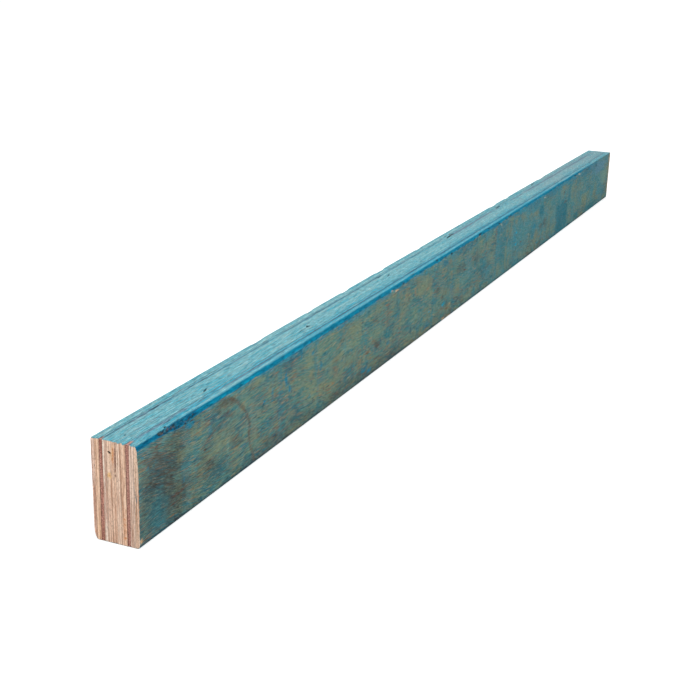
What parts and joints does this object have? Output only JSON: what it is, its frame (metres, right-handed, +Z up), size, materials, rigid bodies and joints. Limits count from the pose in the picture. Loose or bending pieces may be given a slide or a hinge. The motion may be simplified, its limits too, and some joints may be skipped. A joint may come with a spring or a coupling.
{
  "type": "laminated veneer lumber scaffold timber",
  "caption": "Long laminated veneer lumber timber for scaffolding or formwork, standing on its narrow edge, with a worn blue-green sealer and a bare sawn end.",
  "frame": {"origin": "middle of the narrow edge that the timber stands on, at the bottom", "axes": "+X along the length away from the bare sawn end, +Y across the stacked veneers towards the back face veneer, +Z up the 95 mm height of the section"},
  "size_m": [1.8, 0.047, 0.095],
  "materials": {
    "stained_face_veneer": "peeled face veneer, worn blue-green penetrating sealer over brown grain",
    "core_veneer": "pale parallel-grain veneer, bare where sawn, light blue sealer on its edges",
    "crossband_veneer": "red-brown cross-grain veneer, rough",
    "glue_line": "cured dark brown phenolic glue"
  },
  "bodies": {
    "root": {"face_veneer_back": "stained_face_veneer", "face_veneer_front": "stained_face_veneer", "core_veneer_02": "core_veneer", "core_veneer_04": "core_veneer", "core_veneer_05": "core_veneer", "core_veneer_06": "core_veneer", "core_veneer_07": "core_veneer", "core_veneer_08": "core_veneer", "core_veneer_10": "core_veneer", "crossband_veneer_03_near": "crossband_veneer", "crossband_veneer_03_far": "crossband_veneer", "crossband_veneer_09": "crossband_veneer", "glue_line_01_02": "glue_line", "glue_line_02_03": "glue_line", "glue_line_03_04": "glue_line", "glue_line_04_05": "glue_line", "glue_line_05_06": "glue_line", "glue_line_06_07": "glue_line", "glue_line_07_08": "glue_line", "glue_line_08_09": "glue_line", "glue_line_09_10": "glue_line", "glue_line_10_11": "glue_line"}
  },
  "joints": []
}
